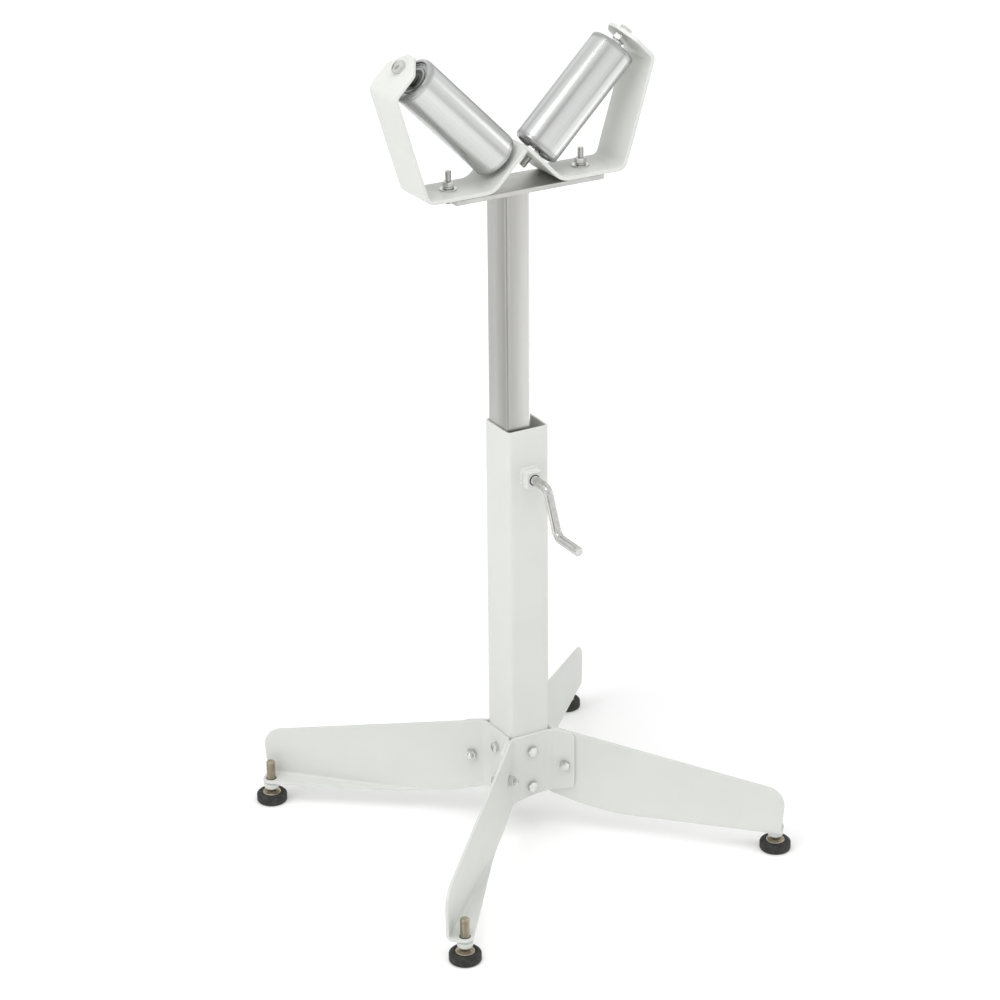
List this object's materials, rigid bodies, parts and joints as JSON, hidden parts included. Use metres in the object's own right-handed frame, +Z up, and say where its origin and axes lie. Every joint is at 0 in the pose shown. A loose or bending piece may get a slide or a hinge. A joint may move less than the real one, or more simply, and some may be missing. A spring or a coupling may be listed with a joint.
{
  "type": "pipe roller support",
  "caption": "Floor stand for pipe: rollers in a V on brackets, on a mast that slides in a square column with a crank clamp screw, on bent sheet legs with levelling feet.",
  "frame": {"origin": "on the floor, under the column's axis", "axes": "+X along the head bar, +Y along the pipe and away from the crank, +Z up the column"},
  "size_m": [0.5544, 0.5544, 1.074],
  "materials": {
    "paint": "satin off-white powder coat",
    "zinc": "bright zinc plate",
    "roller_zinc": "bright zinc plate, fine turned lines",
    "cup_steel": "pressed zinc-plated sheet",
    "bearing_steel": "ground rings, dark seals",
    "bare_steel": "bare drawn steel",
    "stud_zinc": "yellowed zinc plate",
    "rubber": "moulded matt rubber",
    "nylon": "black nylon",
    "crank_zinc": "bright drawn and plated rod"
  },
  "bodies": {
    "stand": {"column_tube": "paint", "clamp_block": "paint", "leg_front": "paint", "leg_right": "paint", "leg_back": "paint", "leg_left": "paint", "foot_bosses": "paint", "column_bolts": "zinc", "column_nuts": "zinc", "leg_joint_bolts": "zinc", "leg_joint_nuts": "zinc"},
    "mast": {"mast_tube": "bare_steel", "mast_guide": "nylon", "head_bar": "bare_steel", "bracket_left": "paint", "bracket_right": "paint", "bracket_bolts": "zinc", "bracket_washers": "zinc", "bracket_lock_washers": "zinc", "bracket_nuts": "zinc", "axle_left": "zinc", "axle_right": "zinc", "axle_nuts": "zinc", "axle_sleeves": "zinc"},
    "roller_left": {"roller_left_shell": "roller_zinc", "roller_left_cups": "cup_steel", "roller_left_bearings": "bearing_steel"},
    "roller_right": {"roller_right_shell": "roller_zinc", "roller_right_cups": "cup_steel", "roller_right_bearings": "bearing_steel"},
    "clamp_screw": {"clamp_screw": "crank_zinc"},
    "foot_front": {"foot_front_stud": "stud_zinc", "foot_front_pad": "rubber"},
    "foot_right": {"foot_right_stud": "stud_zinc", "foot_right_pad": "rubber"},
    "foot_back": {"foot_back_stud": "stud_zinc", "foot_back_pad": "rubber"},
    "foot_left": {"foot_left_stud": "stud_zinc", "foot_left_pad": "rubber"}
  },
  "joints": [
    {"name": "mast_slide", "type": "slide", "parent": "stand", "child": "mast", "axis": [0, 0, 1], "range_m": [-0.28, 0.04]},
    {"name": "roller_left_spin", "type": "hinge", "parent": "mast", "child": "roller_left", "pos_m": [0, 0, 0.905], "axis": [-0.7071, 0, 0.7071], "continuous": true},
    {"name": "roller_right_spin", "type": "hinge", "parent": "mast", "child": "roller_right", "pos_m": [0, 0, 0.905], "axis": [0.7071, 0, 0.7071], "continuous": true},
    {"name": "clamp_turn", "type": "hinge", "parent": "stand", "child": "clamp_screw", "pos_m": [0, -0.037, 0.516], "axis": [0, -1, 0], "range_deg": [0, 720]},
    {"name": "foot_front_level", "type": "slide", "parent": "stand", "child": "foot_front", "axis": [0, 0, 1], "range_m": [-0.015, 0.0015]},
    {"name": "foot_right_level", "type": "slide", "parent": "stand", "child": "foot_right", "axis": [0, 0, 1], "range_m": [-0.015, 0.0015]},
    {"name": "foot_back_level", "type": "slide", "parent": "stand", "child": "foot_back", "axis": [0, 0, 1], "range_m": [-0.015, 0.0015]},
    {"name": "foot_left_level", "type": "slide", "parent": "stand", "child": "foot_left", "axis": [0, 0, 1], "range_m": [-0.015, 0.0015]}
  ]
}
